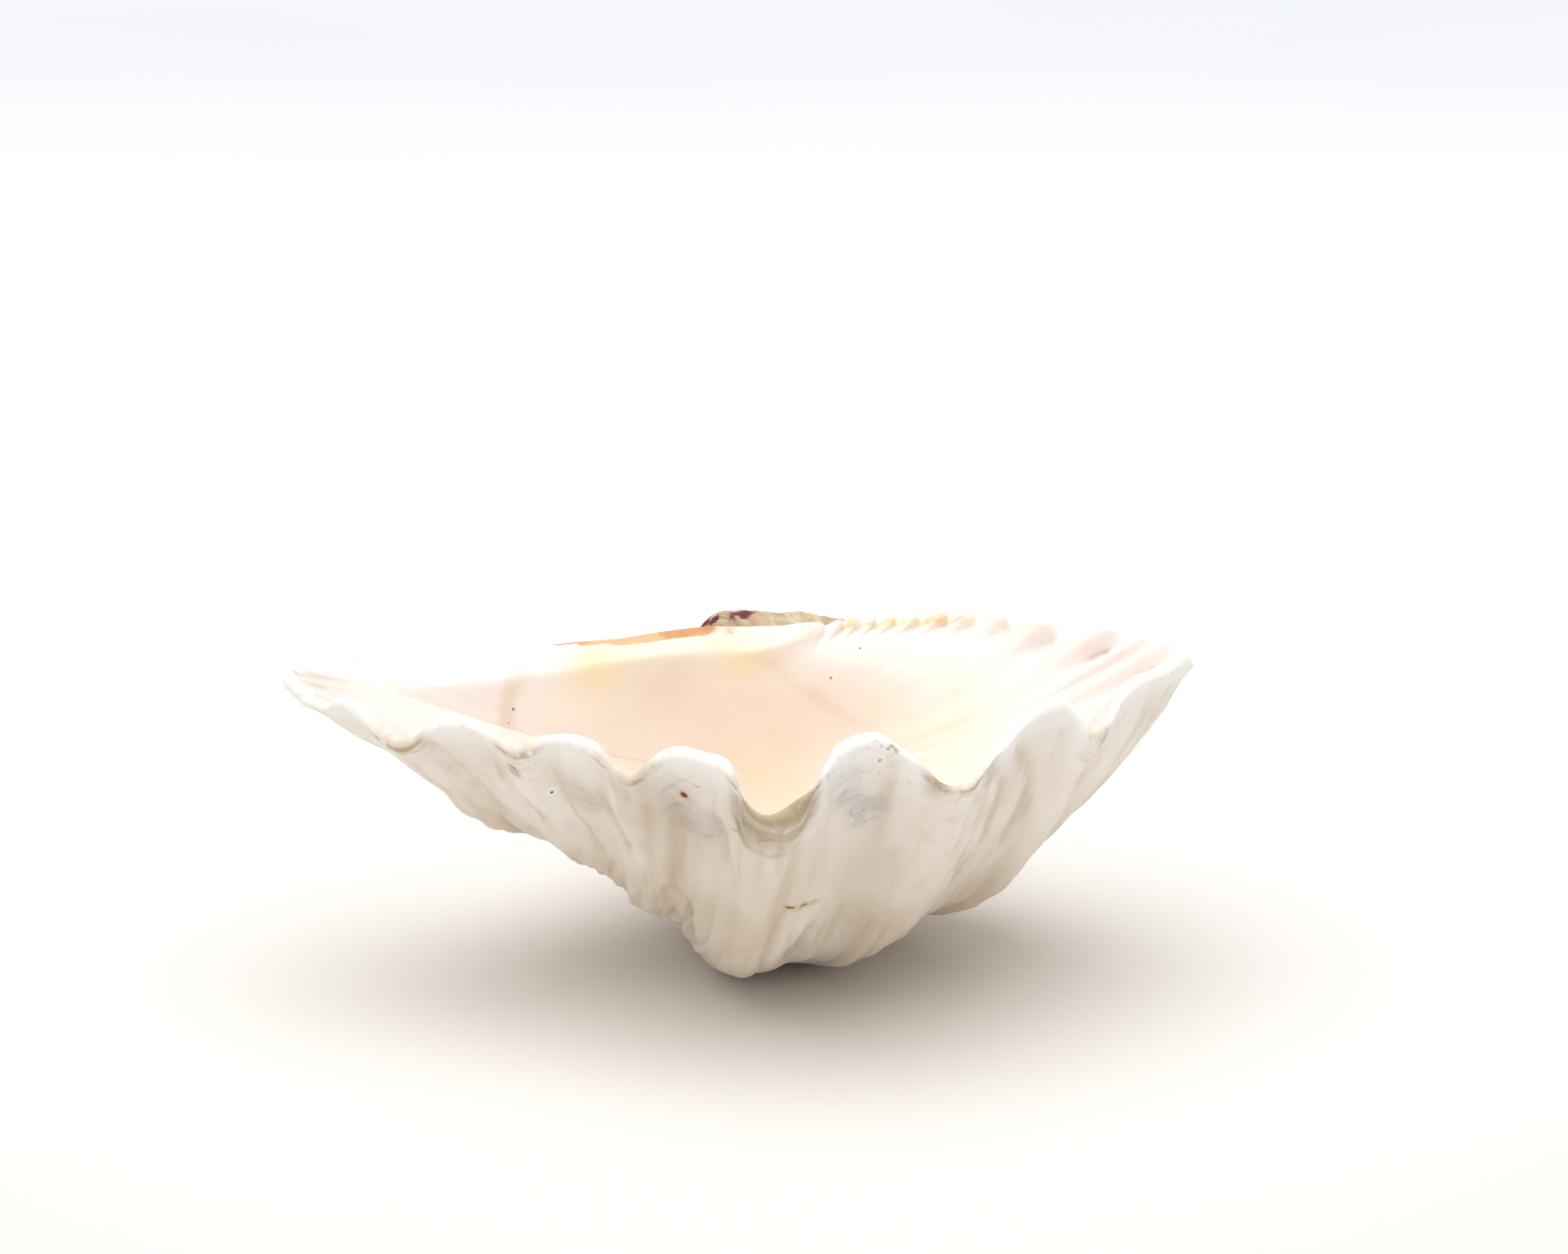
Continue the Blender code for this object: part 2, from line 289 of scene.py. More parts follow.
def coiled(reach, size):
    """A reach from the coiling centre, made smaller and turned down and back about the axis."""
    angle = COIL * math.log(1 / size)
    sideways = reach @ AXIS
    sideways = np.where(sideways > 0, sideways * size ** RIGHT_FLANK, sideways * size)
    ahead = reach @ FORWARD * size
    above = reach[:, 2] * size
    turned_ahead = ahead * math.cos(angle) + above * math.sin(angle)
    turned_above = above * math.cos(angle) - ahead * math.sin(angle)
    stretch = np.where(sideways > 0, SHOULDER_RIGHT, SHOULDER_LEFT) * (1 - size) ** SHOULDER_POWER
    shoulder = np.outer(sideways * stretch, RIGHT)
    sideways = sideways + BEAK_DRIFT * (1 - size) ** 3
    flat = np.outer(sideways, AXIS) + np.outer(turned_ahead, FORWARD) + shoulder
    return flat + np.outer(turned_above, UP)


def outer_row(size):
    """The edge as it was when the valve had this share of its size."""
    relief = OLD_RELIEF + (1 - OLD_RELIEF) * size ** 2
    swell = SWELL * 4 * (1 - size) * np.clip(rim.ahead / 0.06, 0.0, 1.0)
    out = ACROSS * relief * rim.wave + swell
    edge = rim.line + rim.outward * out[:, None] - rim.growth * (ALONG * relief * rim.wave)[:, None]
    return COIL_CENTRE + coiled(edge - COIL_CENTRE, size)


def nose_rows(row, angles):
    """Rows that close the oldest edge in a blunt nose, and the nose's tip."""
    middle = row.mean(axis=0)
    turn = COIL * math.log(1 / BEAK_SIZE)
    nose = -math.sin(turn) * FORWARD - math.cos(turn) * UP
    rows = [middle + (row - middle) * math.cos(a) + nose * NOSE * math.sin(a) for a in angles]
    return rows, middle + nose * NOSE


steps = np.arange(1, OUTER_ROWS + 1) / OUTER_ROWS
outer_sizes = BEAK_SIZE ** (0.4 * steps + 0.6 * steps ** 2)
outside = [outer_row(size) for size in outer_sizes]
nose, beak_tip = nose_rows(outside[-1], (0.3, 0.6, 0.9, 1.2, 1.4))
print(len(outside), "rows outside, the smallest", round(float(outer_sizes[-1]), 3), "of full size")

# %% [markdown]
# ### The lip, the hinge plate and the ligament's ridge
#
# The lip is thick and rounded, like the bead on a pot. Beside the hinge it widens into a flat plate with
# a low ridge along its back, where the brown ligament held the two valves together. Both are one
# profile across the rim, a half wave that is pulled towards one or the other by the share of plate.

# %% Rows of the lip
LIP = 0.0048
LIP_ON_TONGUES = 0.0012
FULL_WAVE = 0.0085
PLATE = 0.013
PLATE_DROP = 0.003
RIDGE_HEIGHT = 0.0025
LIP_ROWS = 12


def bowl_edge(fold, gain=0.0):
    """The inner edge of the lip, with this share of the ribs' relief and the wall this much thicker."""
    width = LIP - LIP_ON_TONGUES * rim.wave / FULL_WAVE
    out = ACROSS * fold * rim.wave - width - gain
    low = ALONG * fold * rim.wave
    plate = rim.plate[:, None] * (PLATE * FORWARD - PLATE_DROP * UP)
    return rim.line + rim.outward * out[:, None] - rim.growth * low[:, None] + plate


def lip_row(share):
    """A row at this share of the way over the lip."""
    outer = outer_row(1.0)
    bead = 0.45 * LIP * math.sin(math.pi * share) ** 0.55 if share < 1 else 0.0
    ridge = RIDGE_HEIGHT * math.sin(math.pi * min(share / 0.44, 1.0))
    rise = bead + (ridge - bead) * rim.plate
    return outer + (bowl_edge(1.0) - outer) * share + rim.growth * rise[:, None]


lip_shares = (1 - np.cos(math.pi * np.arange(1, LIP_ROWS + 1) / LIP_ROWS)) / 2
lip = [lip_row(float(share)) for share in lip_shares]
print(len(lip), "rows over the lip")

# %% [markdown]
# ### The inside
#
# A clam thickens its shell from within, so the inside is smoother than the outside and has a centre of
# its own, under the hinge plate. The folds fade on the way down: slowly in front, by about halfway on
# the right, and close behind the lip where the rim is crimped.

# %% Rows of the inside
BOWL_LEAN = math.radians(12.0)
BOWL_CENTRE = np.array([0.016, -0.035, -0.049])
BOWL_AXIS = np.array([math.cos(BOWL_LEAN), math.sin(BOWL_LEAN), 0.0])
BOWL_FORWARD = np.array([math.sin(BOWL_LEAN), -math.cos(BOWL_LEAN), 0.0])
BOWL_TURN = math.radians(90.0)
BOWL_POWER = 1.1
BOWL_SINK_POWER = 1.5
BOWL_UNDERCUT = 0.028
UNDERCUT_REACH = 0.055
WALL_GAIN = 0.007
ROUND_SIDE = 0.105
ROUND_AHEAD = 0.130
ROUND_BEHIND = 0.022
BOWL_ROWS = 44


def bowl_row(size):
    """A row of the inside, at this share of the way from its centre to the lip."""
    gain = WALL_GAIN * (1 - size) * (1 - rim.plate)
    upper = fade((size - rim.folds_end) / (1 - rim.folds_end), 0.0, 1.0)
    fold = size ** rim.fold_fade * (1 - rim.side * (1 - upper))
    reach = bowl_edge(fold, gain) - BOWL_CENTRE
    sideways = reach @ BOWL_AXIS
    ahead = reach @ BOWL_FORWARD
    round_depth = np.where(ahead > 0, ROUND_AHEAD, ROUND_BEHIND)
    width = np.hypot(sideways / ROUND_SIDE, ahead / round_depth)
    shrink = size * (size + (1 - size) / width)
    under = np.clip(1 - (width * shrink) ** 2, 0.0, 1.0) ** 2 * (1 - size ** 6)
    angle = BOWL_TURN * (1 - size ** BOWL_POWER)
    back = BOWL_UNDERCUT * under * np.exp(-(sideways * shrink / UNDERCUT_REACH) ** 2)
    above = reach[:, 2] * size ** BOWL_SINK_POWER - ahead * shrink * math.sin(angle)
    flat = np.outer(sideways * shrink, BOWL_AXIS)
    flat += np.outer(ahead * shrink * math.cos(angle) - back, BOWL_FORWARD)
    return BOWL_CENTRE + flat + np.outer(above, UP)


bowl_sizes = 1 - (np.arange(BOWL_ROWS) + 0.35) / (BOWL_ROWS + 0.9)
bowl = [bowl_row(float(size)) for size in bowl_sizes]
bowl_pole = BOWL_CENTRE - BOWL_UNDERCUT * BOWL_FORWARD
print(len(bowl), "rows inside")

# %% [markdown]
# ### One sheet from the beak to the bottom of the bowl
#
# The rows are put in one order, from the beak over the outside, the lip and the inside. Two numbers
# then say where any point of the shell is: how far round the rim it grew, and how deep it lies below
# the lip, counted along the surface. Relief and colour both use them, because a shell's pattern follows
# its growth. Round the rim they run on a circle, so that noise has no seam where the ring closes.
#
# Where the hinge plate turns into the bowl the rows are eased, each towards the mean of its neighbours,
# so that the turn is round. A slow noise then moves the growth numbers a little, because no growth line
# is perfectly even.

# %% The sheet and its directions
MIDDLE = np.array([0.016244, -0.057917, -0.104808])
EASE_ROUNDS = 40
WANDER = 0.006

rows = nose[::-1] + outside[::-1] + [outer_row(1.0)] + lip + bowl
sheet = np.array(rows) - MIDDLE
first_lip = len(nose) + len(outside) + 1
first_inner = first_lip + len(lip)
row_size = np.ones(len(rows))
row_size[:len(nose)] = BEAK_SIZE
row_size[len(nose):first_lip - 1] = outer_sizes[::-1]

front = (rim.places > 6) & (rim.places < 17)
gaps = np.linalg.norm(np.diff(sheet[:, front], axis=0), axis=2).mean(axis=1)
depth = np.concatenate([[0], np.cumsum(gaps)])
crest = first_lip + LIP_ROWS // 2
depth = depth[crest] - depth

around = np.linalg.norm(np.roll(rim.line, -1, axis=0) - rim.line, axis=1)
turn = 2 * math.pi * np.concatenate([[0], np.cumsum(around)[:-1]]) / around.sum()
circle = np.stack([np.cos(turn), np.sin(turn)], -1) * around.sum() / (2 * math.pi)
growth_map = np.zeros(sheet.shape)
growth_map[:, :, :2] = circle
growth_map[:, :, 2] = depth[:, None]


ease = 0.5 * rim.plate[None, :, None]
reach = slice(first_inner - 6, first_inner + 12)
for _ in range(EASE_ROUNDS):
    middle_rows = (sheet[first_inner - 7:first_inner + 11] + sheet[first_inner - 5:first_inner + 13]) / 2
    sheet[reach] += ease * (middle_rows - sheet[reach])


def noise_over(points, scales, shift):
    """Smooth noise between -1 and 1 at each point, stretched by scales."""
    moved = (points * np.array(scales) + shift).reshape(-1, 3)
    values = np.array([noise.noise(point) for point in moved.tolist()])
    return values.reshape(points.shape[:2])


wander = [noise_over(growth_map, (22, 22, 26), shift) for shift in (40.0, 60.0)]
growth_map[:, :, :2] += WANDER * np.stack(wander, -1)


def facing(grid):
    """The direction that each point of the sheet faces, outward from the shell's own matter."""
    along = np.roll(grid, -1, axis=1) - np.roll(grid, 1, axis=1)
    return unit(np.cross(along, np.gradient(grid, axis=0)))


faces_to = facing(sheet)
if (faces_to[first_lip - 1] * rim.outward).sum() < 0:
    faces_to = -faces_to
print("depth runs from", round(float(depth[0]), 3), "to", round(float(depth[-1]), 3))

# %% [markdown]
# ## Relief
#
# Photographs of old shells show four things on the outside: flutes and riblets that run with the ribs,
# growth lines that run round them, ledges where growth stopped for a season, and wear. Each is a noise
# with its own proportions. Riblets use the size of a noise, so that its zeros become sharp grooves and
# the rest rounds up between them. All of it is pushed along the sheet's facing. Most of it stays under
# two millimetres, and the ribs low on the wall stand up a little more. The inside gets only slow
# undulations, because the mantle polishes it.


# %% Distances on the sheet
def line_distance(points):
    """Distance from each point of the sheet to a line of points."""
    nearest = np.full(sheet.shape[:2], 9.0)
    for start, end in zip(np.array(points[:-1]), np.array(points[1:])):
        leg = end - start
        t = np.clip(((sheet - start) @ leg) / (leg @ leg), 0.0, 1.0)
        away = np.linalg.norm(sheet - start - t[:, :, None] * leg, axis=2)
        nearest = np.minimum(nearest, away)
    return nearest


def bell(distance, width):
    """1 at no distance, fading out over a width."""
    return np.exp(-(distance / width) ** 2)


def spot(centre, radius):
    """1 at a centre, fading out over a radius."""
    return bell(np.linalg.norm(sheet - np.array(centre), axis=2), radius)


row_index = np.arange(len(rows))
is_inside = fade(row_index, first_lip + LIP_ROWS * 0.45, first_lip + LIP_ROWS * 0.95)[:, None]
is_inside = is_inside * np.ones(sheet.shape[:2])
plate = rim.plate[None, :] * np.ones(sheet.shape[:2])
is_inside = np.maximum(is_inside, plate * fade(row_index, first_lip, first_lip + 4)[:, None])
is_outside = 1 - is_inside
print(round(float(is_inside.mean()), 2), "of the points lie inside")

# %% Relief of the outside, in millimetres
flutes = 1.35 * noise_over(growth_map, (52, 52, 8), 3.1)
patchy = 0.25 + fade(noise_over(growth_map, (20, 20, 16), 17.0), -0.25, 0.35)
riblets = patchy * (1.1 * np.abs(noise_over(growth_map, (125, 125, 12), 11.7)) ** 0.8 - 0.3)
threads = 0.2 * noise_over(growth_map, (300, 300, 30), 5.3)
lines = 0.13 * noise_over(growth_map, (12, 12, 300), 2.9)
phase = depth[:, None] * 95 + 1.6 * noise_over(growth_map, (22, 22, 12), 8.8)
ledges = 0.45 * (phase % 1.0) ** 4 * fade(noise_over(growth_map, (18, 18, 22), 21.0), 0.05, 0.4)
left = fade(-sheet[:, :, 0], 0.02, 0.08)
knobs = (0.95 + 0.75 * left) * noise_over(sheet, (68, 68, 68), 0.4)
knobs += 0.2 * noise_over(sheet, (190, 190, 190), 7.7)
low_ribs = 2.7 * np.abs(noise_over(growth_map, (150, 150, 6), 31.0)) ** 0.8 - 0.5
low_ribs *= fade(depth, 0.048, 0.085)[:, None]
old = np.clip(row_size * 2.0, 0.25, 1.0)[:, None]
off_plate = 1 - 0.8 * plate
outer_relief = (flutes + riblets + threads) * old * off_plate + low_ribs * old + lines
outer_relief = outer_relief + ledges * old + knobs
near_lip = bell(depth[:, None], 0.007)
beads = 0.35 + 1.1 * noise_over(growth_map, (62, 62, 62), 1.5)
beads += 0.4 * noise_over(growth_map, (150, 150, 150), 9.1)
print("outside relief", round(float(outer_relief.std()), 2), "mm")

# %% [markdown]
# ### Marks of the inside
#
# The left wing carries a few long grooves that run in from its tip. The scar where the mantle was
# fastened shows as a faint step that curves down the back of the bowl. Both follow lines of points on
# the surface, and their depth falls away with the distance from the line.

# %% Relief of the inside, in millimetres
WING_GROOVES = [
    [(-0.1472, -0.0105, 0.1088), (-0.1293, 0.0010, 0.1045), (-0.1110, 0.0052, 0.1019)],
    [(-0.1440, -0.0176, 0.1074), (-0.1260, -0.0096, 0.1044), (-0.1040, -0.0066, 0.1014)],
    [(-0.1410, -0.0296, 0.1064), (-0.1210, -0.0216, 0.1034), (-0.1000, -0.0176, 0.0994)]]
MANTLE_SCAR = [
    (0.0034, 0.0412, 0.1004), (0.0115, 0.0450, 0.0952), (0.0223, 0.0455, 0.0866),
    (0.0304, 0.0455, 0.0810), (0.0439, 0.0429, 0.0761)]

slow = 0.5 * noise_over(sheet, (32, 32, 32), 4.2) + 0.12 * noise_over(sheet, (110, 110, 110), 6.6)
inner_relief = slow * (1 - 0.5 * plate)
wing_lines = sum(bell(line_distance(line), 0.0026) for line in WING_GROOVES)
inner_relief -= 0.5 * wing_lines
inner_relief += 0.35 * bell(line_distance(MANTLE_SCAR), 0.0016)
print("inside relief", round(float(inner_relief.std()), 2), "mm")

# %% [markdown]
# ### Creases, cuts and the crack
#
# The ribs under each tongue have a few worn creases along them, and low on the front they end in narrow
# cuts. Between two ribs there is a short crack. A sculptor would scratch all of them with a brush. Here
# each is a line of points on the surface and a dip that fades with the distance from it, so that it
# comes out the same every time. The crack gets its rust-brown colour later from the same line.

# %% Put the relief on the sheet
CREASES = [
    [(-0.0274, -0.0810, 0.0842), (-0.0285, -0.0698, 0.0680), (-0.0290, -0.0477, 0.0468),
     (-0.0254, -0.0218, 0.0292)],
    [(-0.0186, -0.0811, 0.0842), (-0.0196, -0.0680, 0.0654), (-0.0203, -0.0476, 0.0446)],
    [(-0.0063, -0.0889, 0.0820), (-0.0044, -0.0852, 0.0706), (-0.0026, -0.0815, 0.0590)],
    [(0.0227, -0.1108, 0.1006), (0.0218, -0.1089, 0.0911), (0.0185, -0.1049, 0.0808),
     (0.0151, -0.0959, 0.0655), (0.0112, -0.0831, 0.0486), (0.0081, -0.0681, 0.0349)],
    [(0.0468, -0.0983, 0.1041), (0.0451, -0.0932, 0.0936), (0.0435, -0.0856, 0.0784)],
    [(0.0726, -0.0614, 0.0632), (0.0691, -0.0422, 0.0471), (0.0612, -0.0397, 0.0365)],
    [(0.0805, -0.0820, 0.0982), (0.0830, -0.0659, 0.0866), (0.0793, -0.0566, 0.0689),
     (0.0738, -0.0491, 0.0568)],
    [(0.0880, -0.0705, 0.1006), (0.0931, -0.0545, 0.0871), (0.0908, -0.0476, 0.0734),
     (0.0844, -0.0394, 0.0601)],
    [(0.1026, -0.0582, 0.1021), (0.0993, -0.0523, 0.0886), (0.0977, -0.0484, 0.0789)],
    [(-0.0601, -0.0654, 0.0913), (-0.0535, -0.0544, 0.0735), (-0.0456, -0.0414, 0.0586)],
    [(-0.0447, -0.0755, 0.0944), (-0.0416, -0.0658, 0.0784), (-0.0357, -0.0623, 0.0656)],
    [(-0.0990, -0.0578, 0.0981), (-0.0867, -0.0457, 0.0813), (-0.0752, -0.0335, 0.0680)]]
CUTS = [
    [(-0.0244, -0.0477, 0.0458), (-0.0235, -0.0328, 0.0352), (-0.0223, -0.0200, 0.0267)],
    [(-0.0203, -0.0476, 0.0446), (-0.0204, -0.0295, 0.0318), (-0.0197, -0.0224, 0.0263)],
    [(-0.0174, -0.0479, 0.0425), (-0.0167, -0.0326, 0.0307), (-0.0159, -0.0177, 0.0199)],
    [(0.0132, -0.0820, 0.0483), (0.0086, -0.0608, 0.0285), (0.0060, -0.0435, 0.0179)],
    [(0.0162, -0.0682, 0.0391), (0.0142, -0.0356, 0.0182)],
    [(0.0225, -0.0625, 0.0397), (0.0202, -0.0572, 0.0331), (0.0180, -0.0393, 0.0221)]]
CRACK = [(0.0151, -0.0866, 0.0535), (0.0196, -0.0808, 0.0523), (0.0241, -0.0754, 0.0527)]
CREASE_WIDTH, CREASE_DEPTH = 0.0030, 1.9
CUT_WIDTH, CUT_DEPTH = 0.0017, 2.6
CRACK_WIDTH, CRACK_DEPTH = 0.0011, 1.0
MILLIMETRE = 0.001

creases = sum(bell(line_distance(line), CREASE_WIDTH) for line in CREASES)
cuts = sum(bell(line_distance(line), CUT_WIDTH) for line in CUTS)
scratched = CREASE_DEPTH * np.clip(creases, 0.0, 1.2) + CUT_DEPTH * np.clip(cuts, 0.0, 1.1)
outer_relief -= scratched * is_outside
outer_relief -= CRACK_DEPTH * bell(line_distance(CRACK), CRACK_WIDTH) * is_outside
relief = outer_relief * is_outside + inner_relief * is_inside + beads * near_lip * off_plate
sheet += faces_to * (relief * MILLIMETRE)[:, :, None]
sheet[:, :, 2] = np.maximum(sheet[:, :, 2], 0.0)
print("sheet", sheet.shape, "lowest", float(sheet[:, :, 2].min()))

# %% [markdown]
# ## Build the valve
#
# create_circle gives the ring that becomes the oldest edge, and extrude_edge_only pulls it out once for
# each row. Every vertex remembers its row and its station in two integer layers, so that it can be put
# in its place however the operator orders what it makes. Both ends are closed to a point with
# pointmerge. The lowest crests were levelled at the floor above, like the feet that wear flat under a
# real shell.


# %% Extrude the sheet
def grow(grid, start_tip, end_tip):
    """A closed valve from a grid of rows and stations, with both numbers kept on its vertices."""
    bm = bmesh.new()
    station = bm.verts.layers.int.new("station")
    row = bm.verts.layers.int.new("row")
    ring = bmesh.ops.create_circle(bm, segments=grid.shape[1], radius=0.01)["verts"]
    for number, vert in enumerate(ring):
        vert[station] = number
        vert.co = grid[0, number]
    first = list(bm.edges)
    edges = first
    for number in range(1, grid.shape[0]):
        new = bmesh.ops.extrude_edge_only(bm, edges=edges)["geom"]
        edges = [item for item in new if isinstance(item, bmesh.types.BMEdge) and item.is_boundary]
        for item in new:
            if isinstance(item, bmesh.types.BMVert):
                item[row] = number
                item.co = grid[number, item[station]]
    for ends, tip in ((first, start_tip), (edges, end_tip)):
        new = bmesh.ops.extrude_edge_only(bm, edges=ends)["geom"]
        last = [item for item in new if isinstance(item, bmesh.types.BMVert)]
        bmesh.ops.pointmerge(bm, verts=last, merge_co=tip)
    bmesh.ops.recalc_face_normals(bm, faces=bm.faces)
    return bm


bm = grow(sheet, beak_tip - MIDDLE, bowl_pole - MIDDLE)
valve_mesh = bpy.data.meshes.new("clam_valve")
bm.to_mesh(valve_mesh)
bm.free()
valve_mesh.shade_smooth()
valve = bpy.data.objects.new("clam_valve", valve_mesh)
bpy.context.collection.objects.link(valve)
print(len(valve_mesh.vertices), "vertices,", 2 * len(valve_mesh.polygons), "triangles at most")

# %% [markdown]
# ## Where the colours lie
#
# The colours of a shell follow its growth or sit where dirt and light got in. So each one gets a mask,
# worked out on the same sheet and stored on the vertices as an attribute. Some masks carry painted shade
# as well: in the grooves, low on the front and along the folds inside the right end. The material adds
# the fine break-up, which would need far more vertices than these.


# %% Store masks on the vertices
def store(name, values, kind="FLOAT"):
    """Stores a value or vector for each vertex, read from the sheet by its row and station."""
    count = len(valve_mesh.vertices)
    row = np.zeros(count, dtype=np.int32)
    station = np.zeros(count, dtype=np.int32)
    valve_mesh.attributes["row"].data.foreach_get("value", row)
    valve_mesh.attributes["station"].data.foreach_get("value", station)
    attribute = valve_mesh.attributes.new(name, kind, "POINT")
    picked = values[row, station].astype(np.float32)
    attribute.data.foreach_set("vector" if kind == "FLOAT_VECTOR" else "value", picked.ravel())


def blurred(values, reach):
    """The mean over a few stations to each side."""
    total = sum(np.roll(values, step, axis=1) for step in range(-reach, reach + 1))
    return total / (2 * reach + 1)


# the grooves of the outside, where dirt lies and where painted shade goes
groove = np.clip((blurred(relief, 4) - relief) / 0.5, 0.0, 1.0) * is_outside
notch_share = fade(rim.wave / 0.008, 0.15, 0.8)[None, :] * np.ones(sheet.shape[:2])
notch_share = notch_share * ((rim.places > 6) & (rim.places < 16))[None, :]
store("growth", growth_map, "FLOAT_VECTOR")
store("scar", bell(line_distance(MANTLE_SCAR), 0.0028) * is_inside)
store("inside", is_inside)
near_plate = plate * is_inside * bell(depth[:, None], 0.022)
store("plate", near_plate * fade(sheet[:, :, 0], -0.075, -0.045))
store("groove", groove)
store("notch", notch_share * bell(np.clip(depth, 0, None)[:, None], 0.016) * is_outside)
store("tongue", (1 - notch_share) * bell(depth[:, None], 0.013))
# painted shadow: brown lines along the hollow side of the folds inside the right end
painted_fold_shadow = fade(rim.wave / 0.003, 0.45, 1.0) * fade(rim.places, 15.2, 16.0)
painted_fold_shadow = painted_fold_shadow * (1 - fade(rim.places, 18.8, 19.4))
painted_fold_shadow = painted_fold_shadow[None, :] * fade(-depth, 0.002, 0.008)[:, None]
store("painted_fold_shadow", painted_fold_shadow * (1 - fade(-depth, 0.010, 0.034))[:, None])
store("wing", np.clip(wing_lines, 0.0, 1.0) * is_inside)
print("growth map stored")


# %% Masks of the outside
def spots_on(share, spots):
    """The largest of several spots (centre, radius, strength), kept to a share of the shell."""
    total = np.zeros(sheet.shape[:2])
    for centre, radius, strength in spots:
        total = np.maximum(total, strength * spot(centre, radius))
    return total * share


olive = spots_on(is_outside, [
    ((0.0022, -0.1073, 0.0880), 0.009, 1.0), ((0.0082, -0.1123, 0.0872), 0.011, 1.0),
    ((0.0153, -0.1145, 0.0917), 0.010, 1.0), ((0.0215, -0.1128, 0.0978), 0.006, 0.7),
    ((0.0623, -0.0967, 0.0973), 0.006, 0.55), ((0.0794, -0.0814, 0.0955), 0.006, 0.5),
    ((-0.0714, -0.0628, 0.0911), 0.0030, 1.0)])
grey = spots_on(is_outside, [
    ((-0.02, -0.0839, 0.0927), 0.007, 0.7), ((-0.0152, -0.0820, 0.0824), 0.008, 1.0),
    ((-0.0090, -0.0860, 0.0811), 0.007, 0.9), ((0.0285, -0.1091, 0.1049), 0.007, 0.7),
    ((0.0334, -0.0997, 0.0983), 0.008, 1.0), ((0.0384, -0.0916, 0.0880), 0.008, 0.8),
    ((-0.0485, -0.0630, 0.0827), 0.009, 0.5), ((0.1156, -0.0427, 0.1024), 0.012, 0.6)])
# painted shade on the front of the outside, most of it low down; two spots also hold the real grey-brown
# patches of the front tongues
stain_and_painted_shade = spots_on(is_outside, [
    ((-0.0152, -0.0820, 0.0824), 0.024, 1.0), ((0.0334, -0.0968, 0.0929), 0.022, 0.55),
    ((0.0250, -0.0858, 0.0631), 0.028, 0.9), ((0.0050, -0.0846, 0.0644), 0.020, 0.5),
    ((0.0343, -0.0571, 0.0400), 0.020, 1.0), ((0.0018, -0.0756, 0.0439), 0.018, 0.8)])
store("stain_and_painted_shade", stain_and_painted_shade)
beak_age = np.clip(1 - row_size / 0.78, 0.0, 1.0)[:, None] * is_outside
beak_age = beak_age * fade(sheet[:, :, 2], 0.050, 0.104)
purple = spots_on(is_outside, [
    ((-0.0138, 0.0945, 0.0967), 0.005, 0.9), ((-0.0109, 0.0900, 0.0994), 0.0045, 0.8),
    ((-0.0011, 0.0833, 0.1035), 0.0045, 1.0), ((0.0010, 0.0874, 0.1034), 0.004, 0.9)])
store("olive", olive)
store("grey", grey)
store("purple", purple)
store("beak", beak_age)
print("olive", int((olive > 0.3).sum()), "grey", int((grey > 0.3).sum()), "points")

# %% Masks of the inside
within = np.clip(is_inside + near_lip, 0.0, 1.0)
deep = fade(-depth, 0.016, 0.060)[:, None] * is_inside
peach = deep * (0.75 + 0.25 * noise_over(sheet, (26, 26, 26), 12.0))
peach *= 1 - 0.6 * fade(sheet[:, :, 0], 0.02, 0.07) - 0.35 * fade(-sheet[:, :, 0], 0.055, 0.085)
ripe = spots_on(within, [
    ((-0.0288, 0.0362, 0.0893), 0.016, 1.0), ((0.0033, 0.0501, 0.0654), 0.018, 1.0),
    ((-0.0446, 0.0268, 0.0808), 0.014, 0.6), ((0.0412, 0.0428, 0.0733), 0.012, 0.35),
    ((0.0760, 0.0372, 0.0834), 0.010, 0.4)])
gold = spots_on(within, [
    ((-0.0494, 0.0230, 0.1017), 0.012, 0.9), ((-0.0007, 0.0454, 0.1034), 0.012, 0.9),
    ((0.0625, 0.0318, 0.0682), 0.022, 0.45), ((0.0060, 0.0492, 0.0514), 0.020, 0.4),
    ((-0.0797, -0.0644, 0.1065), 0.010, 0.5), ((0.0598, -0.0974, 0.0989), 0.010, 0.7)])
hinge_x = sheet[:, :, 0]
spread = 0.05 + 0.39 * fade(hinge_x, -0.080, -0.034)
ligament = np.zeros(sheet.shape[:2])
over_lip = slice(first_lip, first_inner)
ligament[over_lip] = 1 - fade(lip_shares[:, None] / spread[over_lip], 0.8, 1.1)
ligament[first_lip - 3:first_lip] = 0.8
ligament *= rim.plate[None, :] * fade(hinge_x, -0.104, -0.080) * (1 - 0.6 * fade(hinge_x, -0.016, -0.008))
ligament *= 1 - fade(hinge_x, -0.004, 0.003)
teeth = bell(rim.places - 20.9, 1.5)[None, :] * bell(depth[:, None], 0.009)
store("peach", peach)
store("ripe", ripe)
store("gold", gold)
store("ligament", ligament)
store("teeth", teeth)
print("ligament", int((ligament > 0.3).sum()), "points")


# %% [markdown]
# ## Arithmetic on sockets
#
# A material is a sum of masks and colours. Written as nodes it is hard to read, so this small class
# lets a socket be used as a number: each operator adds a Math node, and any other node comes from its
# one method, which sets the node's own settings first and its sockets after that.

